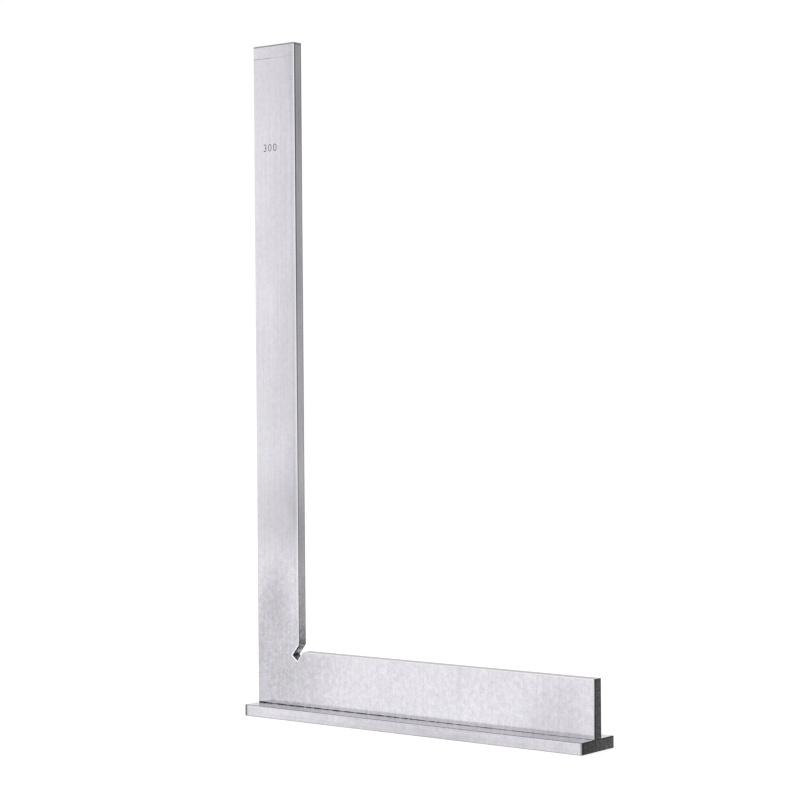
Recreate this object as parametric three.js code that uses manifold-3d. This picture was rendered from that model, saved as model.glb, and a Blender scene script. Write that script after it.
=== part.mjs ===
// A fixed 90 degree workshop square with a stop base: an L-shaped blade of flat steel, whose short leg
// stands on edge on a flat steel bar, so that leg and bar make a T section.
//
// Millimetres, +Z up. X runs along the short leg and Y through the blade's thickness. The origin is the
// middle of the base's underside. The blade's outer edge is flush with the base's end at -X.
import * as THREE from "three";
import { mergeVertices } from "three/addons/utils/BufferGeometryUtils.js";
import Module from "manifold-3d";

const wasm = await Module();
wasm.setup();

// Driving dimensions.
const LONG_LEG = 300; // from the base's underside to the blade's tip
const SHORT_LEG = 180; // length of the short leg and of the base
const LONG_LEG_WIDTH = 24;
const SHORT_LEG_WIDTH = 24.3; // from the base's top
const BLADE_THICKNESS = 5.25;
const BASE_WIDTH = 23.5;
const BASE_THICKNESS = 5;
const EDGE_BREAK = 0.2; // small chamfer on every edge of the blade and the base
const SEAT_DEPTH = 0.125; // of the shallow seat along the base's top that the blade's foot stands in
const SEAT_GAP = 0.05; // beside the foot

// Relief slot in the blade's inner corner: a straight saw cut with a square end.
const SLOT_WIDTH = 3.6;
const SLOT_DEPTH = 3.7; // past the inner corner
const SLOT_ANGLE = THREE.MathUtils.degToRad(52); // above the short leg

// Size figures and a short scribed line, cut into the blade's front face.
const FIGURE_HEIGHT = 3.3;
const FIGURE_WIDTH = 2;
const FIGURE_PITCH = 2.95;
const FIGURE_STROKE = 0.32;
const FIGURE_DEPTH = 0.15;
const FIRST_FIGURE = 6.5; // from the outer edge to the middle of the first figure
const FIGURES_BELOW_TIP = 45.9; // to the middle of the row
const LINE_LENGTH = 11;
const LINE_WIDTH = 0.12;
const LINE_DEPTH = 0.06;
const LINE_BELOW_TIP = 5.9;

// Countersunk socket screws (M3) and dowel pins, put in from the base's underside.
const SCREW_SPACING = 48;
const SCREW_COUNT = 4;
const DOWEL_SPACING = 96;
const DOWEL_COUNT = 2;
const RECESS = 0.3; // of the screws' and dowels' ends below the base's underside
const FIT_GAP = 0.05; // between a screw or dowel and its hole
const SCREW_LENGTH = 10;
const SCREW_RADIUS = 1.5;
const HEAD_RADIUS = 3;
const HEAD_RIM = 0.15; // height of the straight rim on the screw's head
const SOCKET_ACROSS_FLATS = 2;
const SOCKET_DEPTH = 1.1;
const SCREW_CLEARANCE = 0.2; // round the screw in the base
const DOWEL_LENGTH = 10;
const DOWEL_RADIUS = 1.25;
const END_CHAMFER = 0.3; // on the ends of screws and dowels
const HOLE_SPARE = 1.2; // depth of a blind hole past the screw's or dowel's end
const DRILL_POINT = 0.6; // height of the cone at a blind hole's end, per unit of radius
const ROUND_SEGMENTS = 40;
const OVERSHOOT = 1; // how far a cutter reaches outside the piece that it cuts

// Places worked out from the driving dimensions.
const LEFT = -SHORT_LEG / 2;
const RIGHT = SHORT_LEG / 2;
const INNER_EDGE = LEFT + LONG_LEG_WIDTH;
const LEG_TOP = BASE_THICKNESS + SHORT_LEG_WIDTH;
const FOOT = BASE_THICKNESS - SEAT_DEPTH;
const FRONT = -BLADE_THICKNESS / 2;

const GROUND_STEEL = { color: 0xc9c8cd, roughness: 0.35, metalness: 1 };
const BASE_STEEL = { color: 0xc4c4c8, roughness: 0.4, metalness: 1 };
const SCREW_STEEL = { color: 0x3a3b3e, roughness: 0.5, metalness: 1 };
const DOWEL_STEEL = { color: 0xb5b6ba, roughness: 0.25, metalness: 1 };

function solidOf(geometry) {
  const bare = geometry.clone();
  bare.deleteAttribute("normal");
  bare.deleteAttribute("uv");
  const merged = mergeVertices(bare, 1e-4);
  const mesh = new wasm.Mesh({
    numProp: 3,
    vertProperties: new Float32Array(merged.attributes.position.array),
    triVerts: new Uint32Array(merged.index.array),
  });
  return new wasm.Manifold(mesh);
}

function geometryOf(solid) {
  const mesh = solid.getMesh();
  const geometry = new THREE.BufferGeometry();
  geometry.setAttribute("position", new THREE.BufferAttribute(mesh.vertProperties, 3));
  geometry.setIndex(new THREE.BufferAttribute(mesh.triVerts, 1));
  return geometry;
}

function cut(geometry, cutters) {
  let solid = solidOf(geometry);
  for (const cutter of cutters) {
    solid = solid.subtract(solidOf(cutter));
  }
  return geometryOf(solid);
}

function outlineOf(corners) {
  return new THREE.Shape(corners.map(([x, y]) => new THREE.Vector2(x, y)));
}

// A flat outline raised along +Z from z = 0, with its edges broken all round.
function plate(outline, thickness) {
  const geometry = new THREE.ExtrudeGeometry(outline, {
    depth: thickness - 2 * EDGE_BREAK,
    bevelEnabled: true,
    bevelThickness: EDGE_BREAK,
    bevelSize: EDGE_BREAK,
    bevelOffset: -EDGE_BREAK,
    bevelSegments: 1,
  });
  return geometry.translate(0, 0, EDGE_BREAK);
}

// Turns a shape drawn in X and Y, and raised along Z, to stand in X and Z. Its first face then looks
// along +Y from y = 0, and the raised side is at -Y.
function stand(geometry) {
  return geometry.rotateX(Math.PI / 2);
}

function lathe(profile) {
  const points = profile.map(([radius, height]) => new THREE.Vector2(radius, height));
  const geometry = new THREE.LatheGeometry(points, ROUND_SEGMENTS);
  return geometry.rotateX(Math.PI / 2);
}

// Places of a row of count pieces, spacing apart, centred on x = 0.
function rowOf(count, spacing) {
  return Array.from({ length: count }, (_, i) => (i - (count - 1) / 2) * spacing);
}

function slotPoint(along, across) {
  const x = INNER_EDGE + along * Math.cos(SLOT_ANGLE) - across * Math.sin(SLOT_ANGLE);
  const z = LEG_TOP + along * Math.sin(SLOT_ANGLE) + across * Math.cos(SLOT_ANGLE);
  return [x, z];
}

function bladeOutline() {
  const half = SLOT_WIDTH / 2;
  const alongToLongLeg = half * Math.tan(SLOT_ANGLE);
  const alongToShortLeg = half / Math.tan(SLOT_ANGLE);
  return outlineOf([
    [LEFT + EDGE_BREAK, FOOT],
    [RIGHT - EDGE_BREAK, FOOT],
    [RIGHT, FOOT + EDGE_BREAK],
    [RIGHT, LEG_TOP - EDGE_BREAK],
    [RIGHT - EDGE_BREAK, LEG_TOP],
    slotPoint(alongToShortLeg, -half),
    slotPoint(-SLOT_DEPTH, -half),
    slotPoint(-SLOT_DEPTH, half),
    slotPoint(alongToLongLeg, half),
    [INNER_EDGE, LONG_LEG - EDGE_BREAK],
    [INNER_EDGE - EDGE_BREAK, LONG_LEG],
    [LEFT + EDGE_BREAK, LONG_LEG],
    [LEFT, LONG_LEG - EDGE_BREAK],
    [LEFT, FOOT + EDGE_BREAK],
  ]);
}

// A cutter with the outline of a mark in X and Z, which reaches depth into the blade's front face.
function markCutter(outline, depth, x, z) {
  const geometry = new THREE.ExtrudeGeometry(outline, {
    depth: depth + OVERSHOOT,
    bevelEnabled: false,
    curveSegments: 10,
  });
  return stand(geometry).translate(x, FRONT + depth, z);
}

function zeroOutline() {
  const outline = new THREE.Shape();
  outline.absellipse(0, 0, FIGURE_WIDTH / 2, FIGURE_HEIGHT / 2, 0, 2 * Math.PI, false);
  const hole = new THREE.Path();
  const innerWidth = FIGURE_WIDTH / 2 - FIGURE_STROKE;
  const innerHeight = FIGURE_HEIGHT / 2 - FIGURE_STROKE;
  hole.absellipse(0, 0, innerWidth, innerHeight, 0, 2 * Math.PI, true);
  outline.holes.push(hole);
  return outline;
}

// One bowl of a three: a thick arc round (0, centre) from one angle to another, clockwise.
function bowlOutline(centre, start, end) {
  const radius = (FIGURE_HEIGHT - FIGURE_STROKE) / 4;
  const outer = radius + FIGURE_STROKE / 2;
  const inner = radius - FIGURE_STROKE / 2;
  const outline = new THREE.Shape();
  outline.absarc(0, centre * radius, outer, start, end, true);
  outline.absarc(0, centre * radius, inner, end, start, false);
  return outline;
}

function figureCutters() {
  const z = LONG_LEG - FIGURES_BELOW_TIP;
  const place = (index) => LEFT + FIRST_FIGURE + index * FIGURE_PITCH;
  const openAngle = (5 / 6) * Math.PI;
  const upperBowl = bowlOutline(1, openAngle, -Math.PI / 2);
  const lowerBowl = bowlOutline(-1, Math.PI / 2, -openAngle);
  return [
    markCutter(upperBowl, FIGURE_DEPTH, place(0), z),
    markCutter(lowerBowl, FIGURE_DEPTH, place(0), z),
    markCutter(zeroOutline(), FIGURE_DEPTH, place(1), z),
    markCutter(zeroOutline(), FIGURE_DEPTH, place(2), z),
  ];
}

function lineCutter() {
  const outline = outlineOf([
    [-OVERSHOOT, 0],
    [LINE_LENGTH, 0],
    [LINE_LENGTH, LINE_WIDTH],
    [-OVERSHOOT, LINE_WIDTH],
  ]);
  return markCutter(outline, LINE_DEPTH, LEFT, LONG_LEG - LINE_BELOW_TIP);
}

// A drilled hole from below the foot of the short leg, up past a screw or dowel of that length.
function blindHole(radius, length) {
  const end = RECESS + length + HOLE_SPARE;
  return lathe([
    [0, FOOT - OVERSHOOT],
    [radius, FOOT - OVERSHOOT],
    [radius, end],
    [0, end + DRILL_POINT * radius],
  ]);
}

function countersunkHole() {
  const radius = SCREW_RADIUS + SCREW_CLEARANCE;
  const mouth = HEAD_RADIUS + RECESS + HEAD_RIM + FIT_GAP;
  return lathe([
    [0, -OVERSHOOT],
    [mouth, -OVERSHOOT],
    [mouth, 0],
    [radius, mouth - radius],
    [radius, BASE_THICKNESS + OVERSHOOT],
    [0, BASE_THICKNESS + OVERSHOOT],
  ]);
}

function throughHole(radius) {
  return lathe([
    [0, -OVERSHOOT],
    [radius, -OVERSHOOT],
    [radius, BASE_THICKNESS + OVERSHOOT],
    [0, BASE_THICKNESS + OVERSHOOT],
  ]);
}

function bladeGeometry() {
  const body = stand(plate(bladeOutline(), BLADE_THICKNESS)).translate(0, BLADE_THICKNESS / 2, 0);
  const cutters = [...figureCutters(), lineCutter()];
  for (const x of rowOf(SCREW_COUNT, SCREW_SPACING)) {
    cutters.push(blindHole(SCREW_RADIUS + FIT_GAP, SCREW_LENGTH).translate(x, 0, 0));
  }
  for (const x of rowOf(DOWEL_COUNT, DOWEL_SPACING)) {
    cutters.push(blindHole(DOWEL_RADIUS + FIT_GAP, DOWEL_LENGTH).translate(x, 0, 0));
  }
  return cut(body, cutters);
}

function baseOutline() {
  const edge = BASE_WIDTH / 2;
  return outlineOf([
    [LEFT + EDGE_BREAK, -edge],
    [RIGHT - EDGE_BREAK, -edge],
    [RIGHT, -edge + EDGE_BREAK],
    [RIGHT, edge - EDGE_BREAK],
    [RIGHT - EDGE_BREAK, edge],
    [LEFT + EDGE_BREAK, edge],
    [LEFT, edge - EDGE_BREAK],
    [LEFT, -edge + EDGE_BREAK],
  ]);
}

// The seat runs the whole length of the base and is open at both ends.
function seatCutter() {
  const length = SHORT_LEG + 2 * OVERSHOOT;
  const width = BLADE_THICKNESS + 2 * SEAT_GAP;
  const height = SEAT_DEPTH + OVERSHOOT;
  return new THREE.BoxGeometry(length, width, height).translate(0, 0, FOOT + height / 2);
}

function baseGeometry() {
  const cutters = [seatCutter()];
  for (const x of rowOf(SCREW_COUNT, SCREW_SPACING)) {
    cutters.push(countersunkHole().translate(x, 0, 0));
  }
  for (const x of rowOf(DOWEL_COUNT, DOWEL_SPACING)) {
    cutters.push(throughHole(DOWEL_RADIUS + FIT_GAP).translate(x, 0, 0));
  }
  return cut(plate(baseOutline(), BASE_THICKNESS), cutters);
}

// A countersunk screw that stands on its head's flat face at z = 0.
function screwGeometry() {
  const coneTop = HEAD_RIM + HEAD_RADIUS - SCREW_RADIUS;
  const body = lathe([
    [0, 0],
    [HEAD_RADIUS, 0],
    [HEAD_RADIUS, HEAD_RIM],
    [SCREW_RADIUS, coneTop],
    [SCREW_RADIUS, SCREW_LENGTH - END_CHAMFER],
    [SCREW_RADIUS - END_CHAMFER, SCREW_LENGTH],
    [0, SCREW_LENGTH],
  ]);
  const cornerRadius = SOCKET_ACROSS_FLATS / Math.sqrt(3);
  const socketHeight = SOCKET_DEPTH + OVERSHOOT;
  const socket = new THREE.CylinderGeometry(cornerRadius, cornerRadius, socketHeight, 6);
  socket.rotateX(Math.PI / 2);
  socket.translate(0, 0, SOCKET_DEPTH - socketHeight / 2);
  return cut(body, [socket]);
}

function dowelGeometry() {
  const tipRadius = DOWEL_RADIUS - END_CHAMFER;
  return lathe([
    [0, 0],
    [tipRadius, 0],
    [DOWEL_RADIUS, END_CHAMFER],
    [DOWEL_RADIUS, DOWEL_LENGTH - END_CHAMFER],
    [tipRadius, DOWEL_LENGTH],
    [0, DOWEL_LENGTH],
  ]);
}

function piece(name, geometry, finish) {
  const mesh = new THREE.Mesh(geometry, new THREE.MeshStandardMaterial(finish));
  mesh.name = name;
  return mesh;
}

// Numbered copies of a fastener, in a row along the base.
function row(name, geometry, finish, count, spacing) {
  const group = new THREE.Group();
  rowOf(count, spacing).forEach((x, i) => {
    const mesh = piece(`${name}_${i + 1}`, geometry, finish);
    mesh.position.set(x, 0, RECESS);
    group.add(mesh);
  });
  return group;
}

const square = new THREE.Group();
square.add(piece("blade", bladeGeometry(), GROUND_STEEL));
square.add(piece("base", baseGeometry(), BASE_STEEL));
square.add(row("base_screw", screwGeometry(), SCREW_STEEL, SCREW_COUNT, SCREW_SPACING));
square.add(row("dowel_pin", dowelGeometry(), DOWEL_STEEL, DOWEL_COUNT, DOWEL_SPACING));

export default square;
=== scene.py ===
"""Looks for the steel square with a stop base: materials, floor, soft light and camera.

The frame is in metres: X along the short leg, Y through the blade, Z up the long leg, and the
origin is the middle of the base's underside. Patterns are worked out in millimetres.
"""
import math

import bpy
from mathutils import Matrix, Vector


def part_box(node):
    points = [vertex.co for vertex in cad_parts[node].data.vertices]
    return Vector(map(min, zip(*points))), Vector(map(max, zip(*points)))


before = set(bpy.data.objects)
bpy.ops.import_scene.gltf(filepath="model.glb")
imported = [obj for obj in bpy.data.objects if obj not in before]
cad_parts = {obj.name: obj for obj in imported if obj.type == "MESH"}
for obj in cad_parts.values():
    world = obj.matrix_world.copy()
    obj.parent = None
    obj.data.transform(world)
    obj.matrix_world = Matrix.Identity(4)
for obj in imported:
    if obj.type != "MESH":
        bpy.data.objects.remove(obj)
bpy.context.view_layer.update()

MM = 0.001
BASE_LOW, BASE_HIGH = (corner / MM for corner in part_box("base"))
BLADE_LOW, BLADE_HIGH = (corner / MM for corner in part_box("blade"))
LEFT, RIGHT = BASE_LOW.x, BASE_HIGH.x
BASE_FRONT = BASE_LOW.y
FRONT_FACE = BLADE_LOW.y
LEDGE = BASE_HIGH.z
TIP = BLADE_HIGH.z
LONG_LEG_WIDTH = 24.0
SHORT_LEG_WIDTH = 24.3  # from the base's top
INNER_EDGE = LEFT + LONG_LEG_WIDTH
LEG_TOP = LEDGE + SHORT_LEG_WIDTH
EDGE_BREAK = 0.2

# Relief slot: half its width, its depth past the inner corner, its angle above the short leg, how
# far beyond the corner its mouth opens, and the width of the painted highlight round it.
SLOT_HALF = 1.8
SLOT_DEPTH = 3.7
SLOT_ANGLE = math.radians(52)
SLOT_MOUTH = 2.35
SLOT_RIM = 0.4

# Height of the scribed line and the box round the figures, both on the front face, and how far
# under that face their blackening starts.
SCRIBED = TIP - 5.85
FIGURES_LOW = (LEFT + 4.5, TIP - 48.5)
FIGURES_HIGH = (LEFT + 14.5, TIP - 43.5)
BLACKENED_BELOW = 0.04

# Dull areas of the blade: the middle, in X and Z, how far each reaches from there, and how much
# darker it is.
DULL_AREAS = (
    ((-80.0, 16.0), (52.0, 60.0), 0.22),  # the corner
    ((-92.0, 34.0), (12.0, 22.0), 0.12),  # the outer edge above the corner
    ((-79.5, 52.0), (12.0, 26.0), 0.16),  # the three above it, up the long leg
    ((-68.0, 104.0), (10.0, 28.0), 0.08),
    ((-79.0, 90.0), (50.0, 24.0), 0.13),
    ((-78.0, 300.0), (60.0, 60.0), 0.06),  # the tip
    ((70.0, 9.0), (28.0, 20.0), 0.14),  # the two near the open end
    ((76.0, 24.0), (16.0, 12.0), 0.07),
)

# Areas of the long leg's inner narrow face: the height of the middle, how far each reaches up and
# down, and how much darker it is, or lighter where that is negative.
SIDE_AREAS = (
    (115.0, 165.0, -0.36),  # most of the face, brightest below half way up
    (46.0, 28.0, 0.14),  # the two above the slot
    (76.0, 24.0, 0.14),
    (103.0, 26.0, -0.2),  # the bright one above those
    (234.0, 36.0, -0.14),  # the two near the tip
    (294.0, 26.0, -0.10),
)

# Colour of clean steel per unit of shade, and of sawn steel, blackening and painted shade.
STEEL_TINT = (1.0, 0.98, 1.045)
DARK_TINT = (1.0, 0.99, 1.02)

# How much of the light the steel sends back at a grazing angle, where bare metal would send all.
GRAZING = 0.75

# How nearly along an axis a surface has to look to be a flat face, and to be no broken edge.
FLAT_FACE = 0.97
NO_BROKEN_EDGE = 0.85

# Depth of the grinding lines, and how strongly they tilt the surface.
BUMP_DEPTH = 0.004 * MM
BUMP_STRENGTH = 0.3

# Directions of the grinding lines, turned a little so that none stands square on a face.
GROUND_ALONG_X = (1.0, 0.02, 0.03)
GROUND_ALONG_Z = (0.03, 0.02, 1.0)

# Camera: the direction that it looks from, its distance from the target in metres, and its lens
# and sensor in millimetres.
AZIMUTH = math.radians(38.2)
ELEVATION = math.radians(0.44)
ROLL = math.radians(-0.449)
DISTANCE = 0.9185
TARGET = Vector((-5.92, -4.66, 141.1)) * MM
LENS = 97.05
SENSOR = 36.0

# Studio, in metres and watts: the soft lamp.
LAMP_PLACE = (0.0, -0.3, 1.6)
LAMP_SIZE = 1.5
LAMP_POWER = 3.0

# The white all round: how bright it is in the view itself, how bright for the steel and the floor,
# and how bright for them at the back right.
WHITE_SEEN = 1.02
WHITE_LIT = 0.98
BACK_RIGHT_LIT = 0.41
BACK_RIGHT = Vector((0.62, 0.78, 0.0))

# The floor: half its side, its height just under the base, its grey, its glow in the view itself
# and in everything else, and the distances from the origin, along Y, between which it fades from
# what the steel mirrors.
FLOOR_HALF = 6.0
FLOOR_LEVEL = -0.02 * MM
FLOOR_GREY = 0.45
GLOW_SEEN = 0.65
GLOW_LIT = 0.53
MIRROR_FADES = (0.08, 0.14)


class Graph:
    """A material's or world's node tree, with one short method for each kind of node."""

    def __init__(self, tree):
        self.tree = tree
        tree.nodes.clear()

    def node(self, kind, **settings):
        made = self.tree.nodes.new("ShaderNode" + kind)
        for key, value in settings.items():
            setattr(made, key, value)
        return made

    def put(self, socket, value):
        if isinstance(value, bpy.types.NodeSocket):
            self.tree.links.new(value, socket)
        else:
            socket.default_value = value

    def math(self, operation, *values):
        made = self.node("Math", operation=operation)
        for socket, value in zip(made.inputs, values):
            self.put(socket, value)
        return made.outputs[0]

    def times(self, *factors):
        product = factors[0]
        for factor in factors[1:]:
            product = self.math("MULTIPLY", product, factor)
        return product

    def vector(self, operation, *values):
        made = self.node("VectorMath", operation=operation)
        for socket, value in zip(made.inputs, values):
            self.put(socket, value)
        is_number = operation in ("LENGTH", "DOT_PRODUCT")
        return made.outputs["Value" if is_number else "Vector"]

    def split(self, vector):
        made = self.node("SeparateXYZ")
        self.put(made.inputs[0], vector)
        return made.outputs

    def join(self, x, y, z):
        made = self.node("CombineXYZ")
        for socket, value in zip(made.inputs, (x, y, z)):
            self.put(socket, value)
        return made.outputs[0]

    def ramp(self, value, low, high, to_low=0.0, to_high=1.0):
        """value from low..high to to_low..to_high, smooth at both ends and clamped."""
        made = self.node("MapRange", interpolation_type="SMOOTHSTEP")
        for socket, setting in zip(made.inputs, (value, low, high, to_low, to_high)):
            self.put(socket, setting)
        return made.outputs[0]

    def above(self, value, edge, soft=0.1):
        """1 where value is over edge, 0 where it is under edge - soft."""
        return self.ramp(value, edge - soft, edge)

    def below(self, value, edge, soft=0.1):
        """1 where value is under edge, 0 where it is over edge + soft."""
        return self.ramp(value, edge, edge + soft, 1.0, 0.0)

    def noise(self, vector, detail=2.0, roughness=0.5):
        made = self.node("TexNoise")
        self.put(made.inputs["Vector"], vector)
        made.inputs["Scale"].default_value = 1.0
        made.inputs["Detail"].default_value = detail
        made.inputs["Roughness"].default_value = roughness
        return made.outputs["Fac"]

    def blend(self, share, first, second):
        """A number between first and second."""
        made = self.node("Mix", data_type="FLOAT")
        self.put(made.inputs[0], share)
        self.put(made.inputs[2], first)
        self.put(made.inputs[3], second)
        return made.outputs[0]


class Steel(Graph):
    """A steel material built up in layers over a shade, a roughness and a surface height.

    Every pattern reads the place in millimetres and the direction that the face looks in.
    """

    def __init__(self, name, shade, roughness):
        self.material = bpy.data.materials.new(name)
        self.material.use_nodes = True
        super().__init__(self.material.node_tree)
        self.shade = shade
        self.roughness = roughness
        self.dark = 0.0
        self.height = 0.5
        place = self.node("TexCoord").outputs["Object"]
        self.place = self.vector("MULTIPLY", place, (1 / MM, 1 / MM, 1 / MM))
        self.x, self.y, self.z = self.split(self.place)
        self.normal = self.node("NewGeometry").outputs["True Normal"]
        self.facing = self.split(self.vector("ABSOLUTE", self.normal))
        self.toward = self.split(self.normal)

    def grains(self, per_mm, detail=3.0, roughness=0.6):
        """Noise with per_mm features a millimetre along X, Y and Z."""
        return self.noise(self.vector("MULTIPLY", self.place, per_mm), detail, roughness)

    def patch(self, centre, size):
        """1 at centre, falling to 0 at size away along X and Z, the same through the steel."""
        offset = self.vector("SUBTRACT", self.place, (centre[0], 0.0, centre[1]))
        away = self.vector("MULTIPLY", offset, (1 / size[0], 0.0, 1 / size[1]))
        return self.ramp(self.vector("LENGTH", away), 0.1, 1.0, 1.0, 0.0)

    def face(self, direction):
        """1 on the flat faces that look along direction, such as "+x" or "-y"."""
        value = self.toward["xyz".index(direction[1])]
        if direction[0] == "-":
            value = self.math("MULTIPLY", value, -1.0)
        return self.above(value, FLAT_FACE, 0.05)

    def chamfer(self):
        """1 on a broken edge, 0 on the faces."""
        x, y, z = self.facing
        largest = self.math("MAXIMUM", self.math("MAXIMUM", x, y), z)
        return self.below(largest, NO_BROKEN_EDGE)

    def open_end(self):
        """1 on the flat faces at the open end of the short leg and the base."""
        return self.times(self.above(self.x, RIGHT - 0.05), self.face("+x"))

    def vary(self, pattern, amount):
        """Lightens and darkens the shade by amount, where pattern goes from 1 to 0."""
        swing = self.math("MULTIPLY_ADD", pattern, 2.0, -1.0)
        self.shade = self.times(self.shade, self.math("MULTIPLY_ADD", swing, amount, 1.0))

    def dim(self, mask, amount):
        """Darkens the shade under mask by amount of itself; a negative amount lightens it."""
        self.shade = self.times(self.shade, self.math("MULTIPLY_ADD", mask, -amount, 1.0))

    def cover(self, mask, shade, roughness):
        """Lays another shade and roughness over what is under mask."""
        self.shade = self.blend(mask, self.shade, shade)
        self.roughness = self.blend(mask, self.roughness, roughness)

    def darken(self, mask, shade, roughness):
        """A cover in the dark tint."""
        self.cover(mask, shade, roughness)
        self.dark = self.math("MAXIMUM", self.dark, mask)

    def finish(self, grain, anisotropy=0.8):
        """Joins the layers into one shader. grain is the direction of the grinding lines."""
        level = self.join(self.shade, self.shade, self.shade)
        colour = self.node("Mix", data_type="VECTOR")
        self.put(colour.inputs[0], self.dark)
        self.put(colour.inputs[4], self.vector("MULTIPLY", level, STEEL_TINT))
        self.put(colour.inputs[5], self.vector("MULTIPLY", level, DARK_TINT))
        shader = self.node("BsdfPrincipled")
        shader.inputs["Metallic"].default_value = 1.0
        shader.inputs["Anisotropic"].default_value = anisotropy
        shader.inputs["Specular Tint"].default_value = (GRAZING, GRAZING, GRAZING, 1.0)
        self.put(shader.inputs["Base Color"], colour.outputs[1])
        self.put(shader.inputs["Roughness"], self.roughness)
        across = self.vector("CROSS_PRODUCT", self.normal, grain)
        self.put(shader.inputs["Tangent"], self.vector("NORMALIZE", across))
        bump = self.node("Bump")
        bump.inputs["Strength"].default_value = BUMP_STRENGTH
        bump.inputs["Distance"].default_value = BUMP_DEPTH
        self.put(bump.inputs["Height"], self.height)
        self.put(shader.inputs["Normal"], bump.outputs[0])
        self.put(self.node("OutputMaterial").inputs["Surface"], shader.outputs[0])
        return self.material


def sawn_end(s, rim, edge_shade):
    """The sawn, unground ends: nearly black with slanting tooth marks, blacker along rim."""
    slanted = s.join(0.0, s.math("MULTIPLY_ADD", s.z, 0.7, s.y), s.z)
    teeth = s.noise(s.vector("MULTIPLY", slanted, (1.0, 1.6, 0.5)), 3.0, 0.7)
    pits = s.grains((2.0, 1.5, 1.8))
    marks = s.math("ADD", s.times(teeth, 0.5), s.times(pits, 0.5))
    shade = s.ramp(marks, 0.38, 0.62, 0.04, 0.19)
    shade = s.times(shade, s.ramp(s.y, BASE_FRONT, -BASE_FRONT, 0.75, 1.25))
    shade = s.blend(rim, shade, 0.025)
    end = s.open_end()
    s.darken(end, shade, roughness=0.5)
    s.height = s.blend(end, s.height, s.times(marks, 6.0))
    edge = s.times(s.above(s.x, RIGHT - EDGE_BREAK + 0.02, 0.01), s.chamfer())
    s.darken(edge, s.blend(s.above(s.facing[2], 0.5), edge_shade, 0.04), roughness=0.4)


def ground_finish(s, along, mottled):
    """Grinding lines along "x" or "z", and blotches and specks, stronger where mottled is 1."""
    if along == "z":
        streaks, lines = s.grains((1.1, 1.1, 0.015)), s.grains((2.4, 2.4, 0.03))
    else:
        streaks, lines = s.grains((0.02, 1.1, 1.1)), s.grains((0.04, 2.4, 2.4))
    blotches = s.grains((0.45, 0.45, 0.4))
    specks = s.grains((1.2, 1.2, 1.0), 2.0)
    for pattern, if_clean, if_mottled in (
        (streaks, 0.11, 0.08),
        (lines, 0.10, 0.08),
        (blotches, 0.11, 0.28),
        (specks, 0.08, 0.24),
    ):
        s.vary(pattern, s.blend(mottled, if_clean, if_mottled))
    clouds = s.grains((0.06, 0.06, 0.04), 2.0, 0.5)
    s.vary(clouds, 0.08)
    s.height = lines
    s.roughness = s.math("MULTIPLY_ADD", blotches, 0.10, s.roughness - 0.05)
    return streaks, specks


def handling_marks(s):
    """Dull areas, a duller inner half of the long leg, and a scratch beside its inner edge."""
    up = s.ramp(s.z, LEG_TOP - 5.0, LEG_TOP + 45.0)
    s.dim(up, 0.03)
    higher = s.ramp(s.z, LEG_TOP + 25.0, LEG_TOP + 70.0)
    s.dim(s.times(higher, s.ramp(s.x, LEFT, INNER_EDGE)), 0.12)
    for middle, reach, amount in DULL_AREAS:
        s.dim(s.patch(middle, reach), amount)
    outer_rim = s.times(s.below(s.x, LEFT + 0.4, 0.3), s.below(s.z, 60.0, 30.0))
    s.dim(s.times(outer_rim, s.face("-y")), 0.15)
    off_scratch = s.math("ABSOLUTE", s.math("SUBTRACT", s.x, INNER_EDGE - 1.7))
    s.dim(s.times(up, s.below(off_scratch, 0.3, 0.4)), 0.09)


def edge_faces(s, streaks, specks):
    """The blade's narrow faces: dark along their rims and above the slot, uneven along the leg."""
    side = s.face("+x")
    near_slot = s.times(side, s.below(s.z, LEG_TOP + 6.0, 10.0))
    s.vary(s.blend(near_slot, 0.5, s.ramp(specks, 0.38, 0.62)), 0.35)
    s.vary(s.blend(side, 0.5, streaks), 0.2)
    whole_width = 400.0
    for height, reach, amount in SIDE_AREAS:
        s.dim(s.times(side, s.patch((0.0, height), (whole_width, reach))), amount)
    s.dim(s.times(side, s.below(s.z, LEG_TOP + 4.0, 9.0)), 0.28)
    s.dim(s.times(side, s.below(s.z, LEG_TOP + 4.6, 1.2)), 0.38)
    front_rim = s.times(side, s.below(s.y, FRONT_FACE + 0.9, 0.3))
    s.dim(s.times(front_rim, s.ramp(s.z, 60.0, 250.0, 0.7, 1.4)), 0.45)
    back_rim = s.times(side, s.above(s.y, -FRONT_FACE - 0.7, 0.3))
    s.dim(back_rim, 0.25)
    # Painted shade: the top of the narrow faces and the top faces darker.
    s.dim(s.times(side, s.above(s.z, TIP - 0.9, 0.5)), 0.3)
    s.dim(s.face("+z"), 0.3)
    # Painted highlight: every broken edge of the blade made bright.
    s.cover(s.chamfer(), shade=0.98, roughness=0.2)
    # Painted shade: a band along the tip's top edge darker, fainter on the narrow faces.
    tip = s.times(s.above(s.z, TIP - 0.6, 0.2), s.below(s.facing[2], 0.9, 0.05))
    s.dim(s.times(tip, s.blend(side, 1.0, 0.3)), 0.55)


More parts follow.
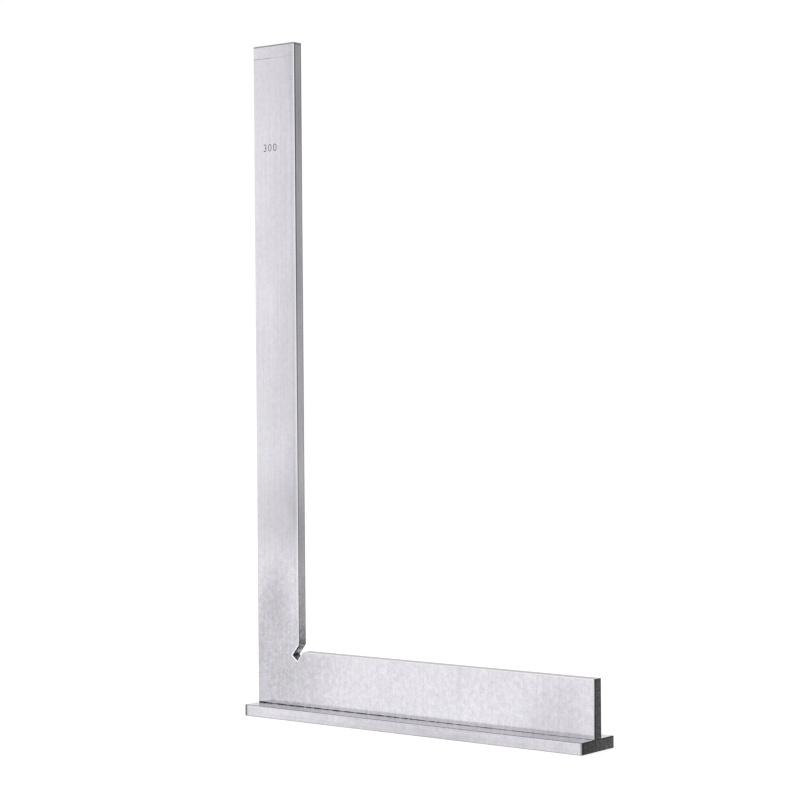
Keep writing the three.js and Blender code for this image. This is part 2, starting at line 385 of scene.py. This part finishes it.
def relief_slot(s, specks):
    """The sawn slot: mottled walls in painted shade, black at the front rim, a painted highlight
    round it.
    """
    corner = s.vector("SUBTRACT", s.place, (INNER_EDGE, 0.0, LEG_TOP))
    cos, sin = math.cos(SLOT_ANGLE), math.sin(SLOT_ANGLE)
    along = s.vector("DOT_PRODUCT", corner, (cos, 0.0, sin))
    across = s.vector("DOT_PRODUCT", corner, (-sin, 0.0, cos))
    beside = s.math("MAXIMUM", s.math("SUBTRACT", s.math("ABSOLUTE", across), SLOT_HALF), 0.0)
    beyond = s.math("MAXIMUM", s.math("SUBTRACT", -SLOT_DEPTH, along), 0.0)
    outside = s.vector("LENGTH", s.join(beside, beyond, 0.0))
    inner = s.below(along, SLOT_MOUTH)
    # Painted highlight: a bright line round the slot on the front and back faces.
    rim_highlight = s.times(s.below(outside, SLOT_RIM, 0.2), inner, s.above(s.facing[1], 0.5))
    s.cover(rim_highlight, shade=0.98, roughness=0.25)
    # Painted shade on the slot's walls: black at the front rim and along one wall, darker at the
    # deep end, towards the mouth and towards the back.
    walls = s.times(s.below(outside, 0.02, 0.02), inner, s.below(s.facing[1], 0.2))
    middle = s.times(s.above(s.y, FRONT_FACE + 1.3, 0.6), s.above(across, -0.7, 0.5))
    mottles_and_shade = s.times(s.ramp(specks, 0.38, 0.62, 0.3, 1.0), s.ramp(along, -3.2, -2.2, 0.4, 1.0))
    toward_mouth = s.ramp(along, -1.6, 0.2, 1.0, 0.62)
    toward_back = s.ramp(s.y, -FRONT_FACE - 1.1, -FRONT_FACE - 0.4, 1.0, 0.5)
    mottles_and_shade = s.times(mottles_and_shade, toward_mouth, toward_back)
    rim = s.ramp(along, -1.0, 2.0, 0.008, 0.03)
    s.darken(walls, s.blend(middle, rim, mottles_and_shade), roughness=0.45)


def engraving(s):
    """Blackened figures, and the finer scribed line with its faint, broken end."""
    front = s.below(s.y, 0.0)
    cut = s.times(front, s.above(s.y, FRONT_FACE + BLACKENED_BELOW, 0.02))
    in_x = s.times(s.above(s.x, FIGURES_LOW[0]), s.below(s.x, FIGURES_HIGH[0]))
    in_z = s.times(s.above(s.z, FIGURES_LOW[1]), s.below(s.z, FIGURES_HIGH[1]))
    s.darken(s.times(cut, in_x, in_z), shade=0.03, roughness=0.5)
    off_line = s.math("ABSOLUTE", s.math("SUBTRACT", s.z, SCRIBED))
    on_face = s.below(s.x, INNER_EDGE - 1.5, 0.5)
    line = s.times(cut, on_face, s.below(off_line, 0.3), s.above(s.facing[1], 0.5))
    s.darken(line, shade=0.14, roughness=0.5)
    broken = s.ramp(s.grains((0.6, 0.0, 0.0)), 0.4, 0.6, 0.4, 1.0)
    s.dim(s.times(on_face, s.below(off_line, 0.08), s.face("-y"), broken), 0.25)


def foot_seam(s):
    """Painted shade of the seam along the blade's foot, in dashes, thickest at the outer end."""
    thickness = s.ramp(s.x, LEFT, RIGHT, 0.32, 0.10)
    thickness = s.math("MULTIPLY_ADD", s.below(s.x, LEFT + 3.0, 3.0), 0.14, thickness)
    dashes = s.ramp(s.grains((0.28, 0.0, 0.0)), 0.42, 0.62, 1.15, 0.55)
    over = s.math("SUBTRACT", s.math("SUBTRACT", s.z, LEDGE), s.times(thickness, dashes))
    # Painted shade: the dark seam between the blade's foot and the base.
    seam_shade = s.times(s.below(over, -0.05, 0.1), s.below(s.x, RIGHT - 0.3))
    s.darken(seam_shade, shade=0.05, roughness=0.6)


def web_end(s):
    """The short leg's sawn end: darker along both rims, and lighter higher up."""
    rim = s.math("MAXIMUM", s.ramp(s.y, -1.9, -1.1, 0.75, 0.0), s.ramp(s.y, 1.5, 2.3, 0.0, 0.4))
    edge_shade = s.ramp(s.z, 10.0, 27.0, 0.28, 0.65)
    sawn_end(s, rim, edge_shade)
    end = s.open_end()
    s.dim(end, 0.13)
    s.dim(s.times(end, s.ramp(s.z, LEDGE, LEG_TOP)), -0.4)


def blade_steel():
    """The blade: lines along the long leg, mottled low down, and every mark and worn place."""
    s = Steel("blade_ground_steel", shade=0.79, roughness=0.12)
    near_foot = s.times(s.below(s.z, LEG_TOP + 5.0, 60.0), s.ramp(s.x, -60.0, -30.0, 1.0, 0.6))
    streaks, specks = ground_finish(s, "z", near_foot)
    handling_marks(s)
    edge_faces(s, streaks, specks)
    relief_slot(s, specks)
    engraving(s)
    foot_seam(s)
    web_end(s)
    return s.finish(GROUND_ALONG_Z)


def base_rims(s):
    """Dark worn rims at both ends of the base's front face."""
    front = s.face("-y")
    s.dim(s.times(s.above(s.x, RIGHT - 0.6, 0.3), front), 0.45)
    s.dim(s.times(s.below(s.x, LEFT + 1.15, 0.15), front), 0.68)
    s.dim(s.times(s.below(s.x, LEFT + 1.9, 0.3), front), 0.12)


def base_steel():
    """The base: lines along the bar, broken edges in painted shade, and a top brightened by
    painted light.
    """
    s = Steel("base_ground_steel", shade=0.75, roughness=0.17)
    ground_finish(s, "x", 0.35)
    s.vary(s.grains((0.015, 0.6, 0.9)), 0.14)
    s.dim(s.patch((18.0, 2.5), (95.0, 60.0)), 0.13)
    # Painted light: the top faces brighter.
    s.dim(s.face("+z"), -0.28)
    # Painted shade: every broken edge of the base darkened.
    s.cover(s.chamfer(), shade=0.22, roughness=0.25)
    base_rims(s)
    beside_blade = s.math("SUBTRACT", s.math("ABSOLUTE", s.y), -FRONT_FACE)
    # Painted shade in the seat round the blade's foot, between the blade and the base.
    seat_shade = s.times(s.below(beside_blade, 0.0, 0.2), s.above(s.z, LEDGE - 0.2))
    s.darken(seat_shade, shade=0.45, roughness=0.5)
    top = s.times(s.above(s.z, LEDGE - 0.3, 0.3), s.above(beside_blade, 0.3, 0.3))
    rim = s.math("MAXIMUM", s.below(s.y, BASE_FRONT + 0.9, 0.5), top)
    sawn_end(s, rim, edge_shade=0.22)
    s.dim(s.face("+x"), 0.12)
    return s.finish(GROUND_ALONG_X)


def fastener_steel(name, shade, roughness):
    """Screws and pins: fine and broad mottling, and edges rubbed brighter and smoother."""
    s = Steel(name, shade, roughness)
    s.vary(s.grains((2.0, 2.0, 2.0)), 0.25)
    s.vary(s.grains((0.3, 0.3, 0.3)), 0.15)
    s.cover(s.chamfer(), shade=2.0 * shade, roughness=roughness - 0.1)
    return s.finish(GROUND_ALONG_X, anisotropy=0.0)


def dress(nodes, material):
    """Gives the named nodes the material."""
    for name in nodes:
        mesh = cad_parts[name].data
        mesh.materials.clear()
        mesh.materials.append(material)


def studio_world():
    """White all round, and darker at the back right for everything but the view itself."""
    world = bpy.data.worlds.new("studio")
    bpy.context.scene.world = world
    world.use_nodes = True
    g = Graph(world.node_tree)
    direction = g.node("TexCoord").outputs["Generated"]
    toward_back = g.vector("DOT_PRODUCT", direction, BACK_RIGHT)
    level = g.ramp(toward_back, 0.72, 0.93, WHITE_LIT, BACK_RIGHT_LIT)
    is_camera = g.node("LightPath").outputs["Is Camera Ray"]
    back = g.node("Background")
    back.inputs["Color"].default_value = (1.0, 1.0, 1.0, 1.0)
    g.put(back.inputs["Strength"], g.blend(is_camera, level, WHITE_SEEN))
    g.put(g.node("OutputWorld").inputs["Surface"], back.outputs[0])


def softbox(place, size, power):
    """A round lamp aimed at the origin, which doesn't show in the steel."""
    data = bpy.data.lights.new("softbox", "AREA")
    data.shape = "DISK"
    data.size = size
    data.energy = power
    lamp = bpy.data.objects.new("softbox", data)
    lamp.location = place
    lamp.rotation_mode = "QUATERNION"
    lamp.rotation_quaternion = (-Vector(place)).to_track_quat("-Z", "Y")
    lamp.visible_glossy = False
    bpy.context.scene.collection.objects.link(lamp)


def floor_material():
    """Near-white from above and clear from below; only its part near the object is mirrored."""
    material = bpy.data.materials.new("floor")
    material.use_nodes = True
    g = Graph(material.node_tree)
    diffuse = g.node("BsdfDiffuse")
    diffuse.inputs["Color"].default_value = (FLOOR_GREY, FLOOR_GREY, FLOOR_GREY, 1.0)
    glow = g.node("Emission")
    is_camera = g.node("LightPath").outputs["Is Camera Ray"]
    g.put(glow.inputs["Strength"], g.blend(is_camera, GLOW_LIT, GLOW_SEEN))
    both = g.node("AddShader")
    g.put(both.inputs[0], diffuse.outputs[0])
    g.put(both.inputs[1], glow.outputs[0])
    place = g.node("TexCoord").outputs["Object"]
    # The object is longer along X, so the mirrored part is too.
    away = g.vector("LENGTH", g.vector("MULTIPLY", place, (0.6, 1.0, 1.0)))
    far = g.ramp(away, *MIRROR_FADES)
    hidden = g.times(far, g.node("LightPath").outputs["Is Glossy Ray"])
    hidden = g.math("MAXIMUM", hidden, g.node("NewGeometry").outputs["Backfacing"])
    mixed = g.node("MixShader")
    g.put(mixed.inputs[0], hidden)
    g.put(mixed.inputs[1], both.outputs[0])
    g.put(mixed.inputs[2], g.node("BsdfTransparent").outputs[0])
    g.put(g.node("OutputMaterial").inputs["Surface"], mixed.outputs[0])
    return material


def floor():
    """A large square floor just under the base."""
    signs = ((-1, -1), (1, -1), (1, 1), (-1, 1))
    corners = [(x * FLOOR_HALF, y * FLOOR_HALF, FLOOR_LEVEL) for x, y in signs]
    mesh = bpy.data.meshes.new("floor")
    mesh.from_pydata(corners, [], [(0, 1, 2, 3)])
    mesh.materials.append(floor_material())
    made = bpy.data.objects.new("floor", mesh)
    bpy.context.scene.collection.objects.link(made)


def camera():
    """A camera that looks at TARGET from AZIMUTH and ELEVATION, turned by ROLL."""
    data = bpy.data.cameras.new("camera")
    data.lens = LENS
    data.sensor_width = SENSOR
    data.clip_start = 0.01
    data.clip_end = 50.0
    back = Vector((
        math.sin(AZIMUTH) * math.cos(ELEVATION),
        -math.cos(AZIMUTH) * math.cos(ELEVATION),
        math.sin(ELEVATION),
    ))
    look = (-back).to_track_quat("-Z", "Y").to_matrix().to_4x4()
    roll = Matrix.Rotation(ROLL, 4, "Z")
    made = bpy.data.objects.new("camera", data)
    made.matrix_world = Matrix.Translation(TARGET + back * DISTANCE) @ look @ roll
    bpy.context.scene.collection.objects.link(made)
    bpy.context.scene.camera = made


bpy.context.scene.view_settings.view_transform = "Standard"
camera()
studio_world()
softbox(LAMP_PLACE, LAMP_SIZE, LAMP_POWER)
floor()

dress(["blade"], blade_steel())
dress(["base"], base_steel())
dress([f"base_screw_{i}" for i in range(1, 5)], fastener_steel("screw_steel", 0.10, 0.45))
dress([f"dowel_pin_{i}" for i in range(1, 3)], fastener_steel("dowel_steel", 0.45, 0.3))
